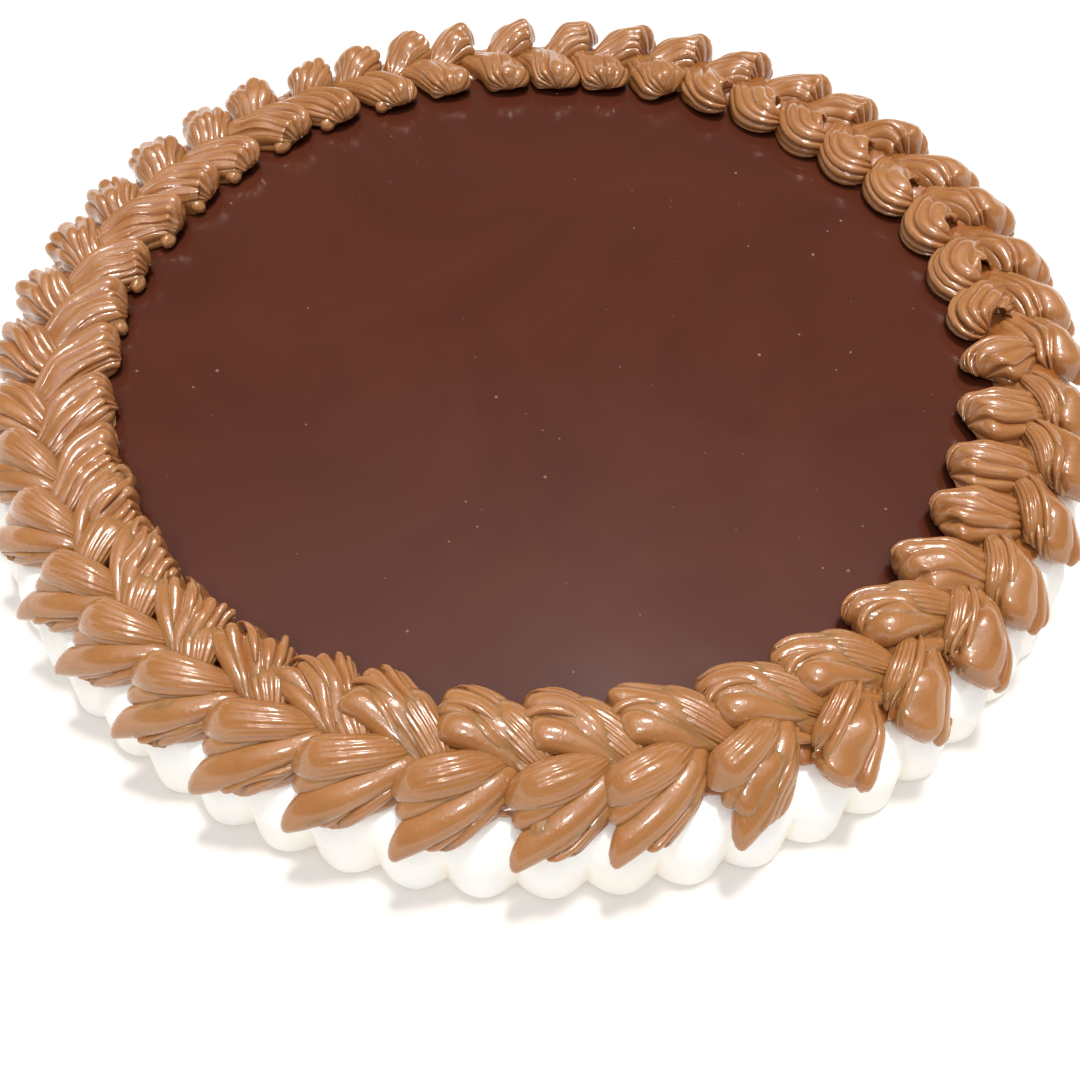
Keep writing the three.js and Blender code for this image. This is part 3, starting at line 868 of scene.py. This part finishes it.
def laid_strands(shell):
    """The thick and thin strands that stand out from a shell as bodies of their own."""
    made = []

    def lies(side, stretch):
        """Whether the shell is in the row on that side, in that stretch of the ring."""
        return shell.side == side and stretch[0] < shell.angle % 360 <= stretch[1]

    def lay(points, widths, thickness, **rest):
        """Lay a strand along points whose place across is a share of the shell's half width."""
        path = [(share, across * float(shell.half_width(share)) + float(shell.hooked(share)), height)
                for share, across, height in points]
        made.append(make_strand(shell, path, widths, thickness, **rest))

    if lies(INSIDE, WITH_LOBE):
        # The smooth lobe, the hem rolled up under it, and the fine strands along the glaze
        lay([(-0.07, -0.36, 4.4), (0.08, -0.42, 6.3), (0.28, -0.44, 6.9), (0.55, -0.4, 5.6),
             (0.85, -0.3, 3.8)],
            [6.4, 8.0, 7.4, 5.0, 3.0], [5.6, 7.4, 6.8, 4.6, 3.0], ends=(0.3, 0.3), relief=0.01)
        lay([(0.0, -0.75, 1.8), (0.12, -1.0, 3.8), (0.34, -1.14, 5.2), (0.62, -1.16, 4.8),
             (0.95, -0.9, 2.8)],
            [2.8, 3.4, 3.6, 3.2, 2.4], [2.8, 3.2, 3.4, 3.0, 2.2], ends=(0.25, 0.25))
        lay([(0.24, 0.5, 6.0), (0.42, 0.42, 6.8), (0.68, 0.4, 5.6), (0.95, 0.3, 3.6)],
            [5.0, 8.0, 7.4, 4.6], [3.0, 4.8, 5.0, 3.6], ends=(0.3, 0.2), ribs=20, relief=0.07)
    if lies(INSIDE, WITH_FLAP):
        # The smooth flap beside the strands of a fan, and the fine strands that draw together at its tail
        lay([(0.0, -0.66, 3.4), (0.12, -0.66, 5.4), (0.4, -0.62, 6.2), (0.8, -0.4, 4.6)],
            [4.4, 5.4, 4.4, 2.8], [3.4, 4.8, 4.4, 2.8], ends=(0.3, 0.3))
        lay([(0.25, 0.42, 4.6), (0.5, 0.34, 5.5), (0.75, 0.28, 5.1), (1.02, 0.15, 3.8)],
            [8.0, 9.0, 7.4, 4.0], [4.0, 4.6, 4.4, 3.2], ends=(0.3, 0.2), ribs=16, relief=0.08)
    if lies(INSIDE, WITH_LIP):
        # The lip, which rises at the end of the head and runs on along its crest
        lay([(-0.06, -0.3, 4.4), (-0.05, -0.05, 6.8), (0.06, 0.1, 8.5), (0.22, 0.14, 9.1),
             (0.42, 0.1, 8.7)],
            [1.6, 2.0, 2.0, 1.7, 1.2], [1.7, 2.1, 2.1, 1.8, 1.2], ends=(0.16, 0.3))
    if lies(INSIDE, WITH_NUB):
        made.append(make_nub(shell))
    if lies(OUTSIDE, WITH_MOUND):
        # The ribbed mound and the band along its foot, then the tongue and a thin strand under it
        lay([(-0.08, -0.5, 3.8), (0.1, -0.5, 6.0), (0.34, -0.48, 7.2), (0.62, -0.42, 6.4),
             (0.95, -0.3, 3.4)],
            [6.4, 8.2, 8.6, 7.4, 5.0], [5.2, 7.4, 7.4, 5.8, 3.6], ends=(0.32, 0.3), ribs=18, relief=0.045)
        lay([(-0.06, -0.08, 3.0), (0.12, -0.06, 4.8), (0.45, -0.14, 6.0), (0.85, -0.12, 4.2)],
            [3.6, 4.4, 3.8, 2.4], [3.4, 4.6, 4.4, 2.8], ends=(0.16, 0.3))
        lay([(-0.13, 0.47, 2.0), (0.08, 0.46, 3.7), (0.38, 0.4, 5.2), (0.7, 0.3, 5.0),
             (0.97, 0.15, 3.2)],
            [6.0, 6.4, 6.2, 5.0, 3.2], [3.6, 4.4, 4.6, 4.0, 2.8], ends=(0.1, 0.25), cut=-0.06, relief=0.01)
        lay([(0.22, 0.88, 1.2), (0.38, 0.86, 2.6), (0.62, 0.74, 3.4), (0.9, 0.5, 3.0)],
            [2.2, 2.8, 2.6, 2.0], [2.2, 2.8, 2.8, 2.0], ends=(0.3, 0.3))
    if lies(OUTSIDE, WITH_BUNDLE):
        # The bundle of fine strands, and the thin ridge between it and the broad lobe
        lay([(0.04, -0.62, 3.4), (0.3, -0.62, 6.0), (0.6, -0.5, 6.6), (0.92, -0.3, 4.4)],
            [4.0, 5.4, 5.0, 3.4], [3.2, 4.8, 4.6, 3.2], ends=(0.3, 0.3), ribs=14, relief=0.08)
        lay([(-0.06, -0.3, 3.2), (0.1, -0.34, 6.2), (0.32, -0.3, 8.2), (0.6, -0.12, 8.4),
             (0.88, 0.1, 5.6)],
            [1.6, 2.0, 2.0, 1.8, 1.3], [1.8, 2.2, 2.2, 2.0, 1.4], ends=(0.12, 0.3))
    return made


def make_row(name, shells, material):
    """One piece of all the given shells."""
    points, faces, marks, count = [], [], {"grain": [], "painted_shade": []}, 0
    for shell in shells:
        for made, made_faces, made_marks in [make_shell(shell), *laid_strands(shell)]:
            points.append(made)
            faces += [[corner + count for corner in face] for face in made_faces]
            for mark in marks:
                marks[mark].append(made_marks[mark])
            count += len(made)
    marks = {mark: np.concatenate(values) for mark, values in marks.items()}
    piece = make_piece(name, np.concatenate(points), faces, material, marks)
    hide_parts("caramel_braid")


for row in (OUTER, INNER):
    shells = [Shell(row, number) for number in range(row["shells"])]
    curled = [shell for shell in shells if shell.dome >= CURLED]
    drawn = [shell for shell in shells if shell.dome < CURLED]
    make_row(row["name"] + "_curled_shells", curled, caramel.material)
    make_row(row["name"] + "_drawn_shells", drawn, caramel.material)


# The studio: a plain pale floor under the cake, and two small soft lamps, a warm one nearly overhead and
# a weaker one in front. The room is pale at the horizon, dim above it and pale again overhead, which
# leaves the broad sheen on the glaze.
FLOOR_REACH = 3
floor_mesh = bpy.data.meshes.new("floor")
corners = [(x * FLOOR_REACH, y * FLOOR_REACH, 0) for x, y in ((-1, -1), (1, -1), (1, 1), (-1, 1))]
floor_mesh.from_pydata(corners, [], [(0, 1, 2, 3)])
floor = bpy.data.objects.new("floor", floor_mesh)
bpy.context.collection.objects.link(floor)
table = Finish("pale table", colour(236, 231, 224), 0.8)
table.set("Normal", table.bump(table.noise(table.place(), 220.0, 3.0), 0.0002, 0.2))
floor_mesh.materials.append(table.material)


def soft_lamp(name, size, power, place, tint):
    """A round lamp that looks at the middle of the cake's foot."""
    lamp = bpy.data.lights.new(name, "AREA")
    lamp.shape = "DISK"
    lamp.size = size
    lamp.energy = power
    lamp.color = tint
    holder = bpy.data.objects.new(name, lamp)
    holder.location = place
    holder.rotation_euler = (Vector((0, 0, 0)) - Vector(place)).to_track_quat("-Z", "Y").to_euler()
    bpy.context.collection.objects.link(holder)


soft_lamp("ceiling_lamp", size=0.2, power=9.6, place=(0.1, 0.14, 1.1), tint=(1.0, 0.96, 0.9))
soft_lamp("front_lamp", size=0.18, power=2.6, place=(-0.15, -0.6, 0.95), tint=(1.0, 0.98, 0.95))

HORIZON = (1.3, 1.28, 1.24, 1)
DIM = (0.12, 0.12, 0.12, 1)
DIM_HIGHER = (0.16, 0.16, 0.17, 1)
OVERHEAD = (1.3, 1.33, 1.45, 1)
world = bpy.data.worlds.new("room")
bpy.context.scene.world = world
world.use_nodes = True
room = world.node_tree
direction = room.nodes.new("ShaderNodeTexCoord")
parts = room.nodes.new("ShaderNodeSeparateXYZ")
ramp = room.nodes.new("ShaderNodeValToRGB")
room.links.new(direction.outputs["Generated"], parts.inputs[0])
room.links.new(parts.outputs["Z"], ramp.inputs["Fac"])
room.links.new(ramp.outputs["Color"], room.nodes["Background"].inputs["Color"])
steps = ramp.color_ramp.elements
steps[0].position = 0.19
steps[0].color = HORIZON
steps[1].position = 0.27
steps[1].color = DIM
steps.new(0.7).color = DIM_HIGHER
steps.new(0.92).color = OVERHEAD
bpy.context.scene.view_settings.view_transform = "Standard"
